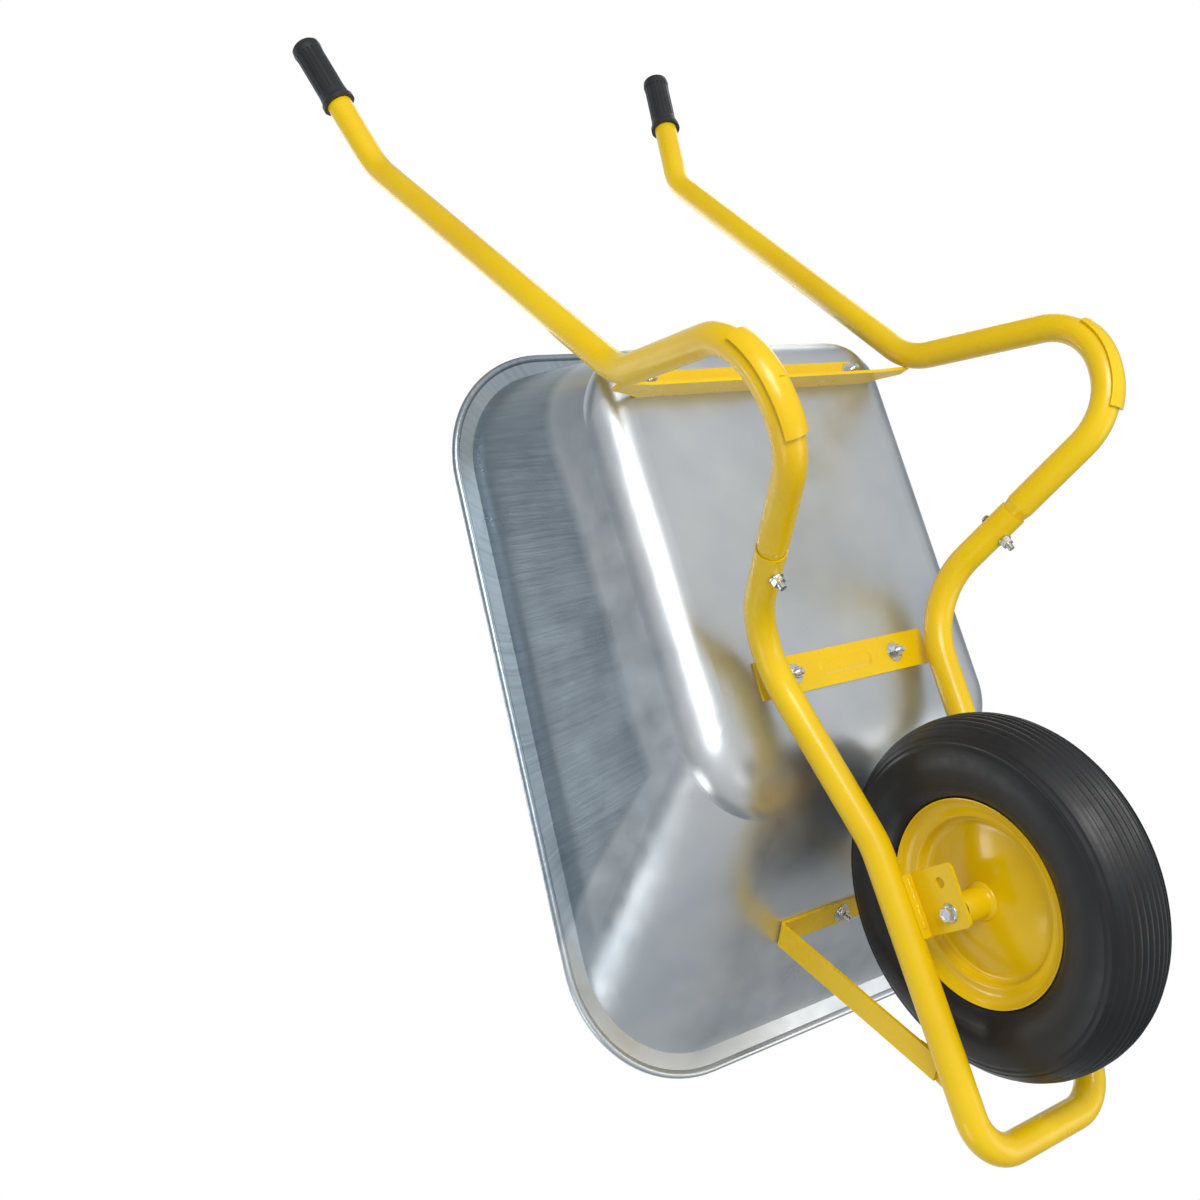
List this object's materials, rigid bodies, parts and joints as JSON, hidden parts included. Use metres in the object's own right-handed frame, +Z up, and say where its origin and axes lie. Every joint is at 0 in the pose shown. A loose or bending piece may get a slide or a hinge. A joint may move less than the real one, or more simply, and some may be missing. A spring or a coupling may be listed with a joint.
{
  "type": "wheelbarrow",
  "caption": "Builder's wheelbarrow with a drawn sheet pan, a bent tube frame with handles and legs, and a solid ribbed tyre on a pressed rim.",
  "frame": {"origin": "on the floor under the middle of the outer box, standing on its wheel and two feet", "axes": "+Z up, +Y from the wheel towards the handles, +X to the left of a user who stands at the handles"},
  "size_m": [0.6954, 1.6226, 0.6732],
  "materials": {
    "galvanised_sheet": "drawn galvanised sheet, satin",
    "yellow_paint": "gloss powder coat",
    "yellow_rim": "gloss paint",
    "black_grip": "satin, ribbed",
    "tyre_rubber": "satin",
    "bearing_plastic": "matt",
    "zinc_steel": "bright zinc plate"
  },
  "bodies": {
    "frame": {"pan": "galvanised_sheet", "left_handle_tube": "yellow_paint", "right_handle_tube": "yellow_paint", "front_frame_tube": "yellow_paint", "left_grip": "black_grip", "right_grip": "black_grip", "left_skid": "yellow_paint", "right_skid": "yellow_paint", "rear_cross_bracket": "yellow_paint", "middle_cross_plate": "yellow_paint", "front_stay": "yellow_paint", "left_stay_tab": "yellow_paint", "right_stay_tab": "yellow_paint", "left_wheel_bracket": "yellow_paint", "right_wheel_bracket": "yellow_paint", "axle": "zinc_steel", "axle_spacers": "zinc_steel", "axle_bolts": "zinc_steel", "pan_bolts": "zinc_steel", "pan_washers": "zinc_steel", "pan_nuts": "zinc_steel", "joint_bolts": "zinc_steel", "joint_washers": "zinc_steel", "joint_nuts": "zinc_steel"},
    "wheel": {"tyre": "tyre_rubber", "left_rim_half": "yellow_rim", "right_rim_half": "yellow_rim", "hub_tube": "yellow_rim", "hub_bearings": "bearing_plastic"}
  },
  "joints": [
    {"name": "wheel_spin", "type": "hinge", "parent": "frame", "child": "wheel", "pos_m": [0, -0.5395, 0.2], "axis": [1, 0, 0], "continuous": true}
  ]
}
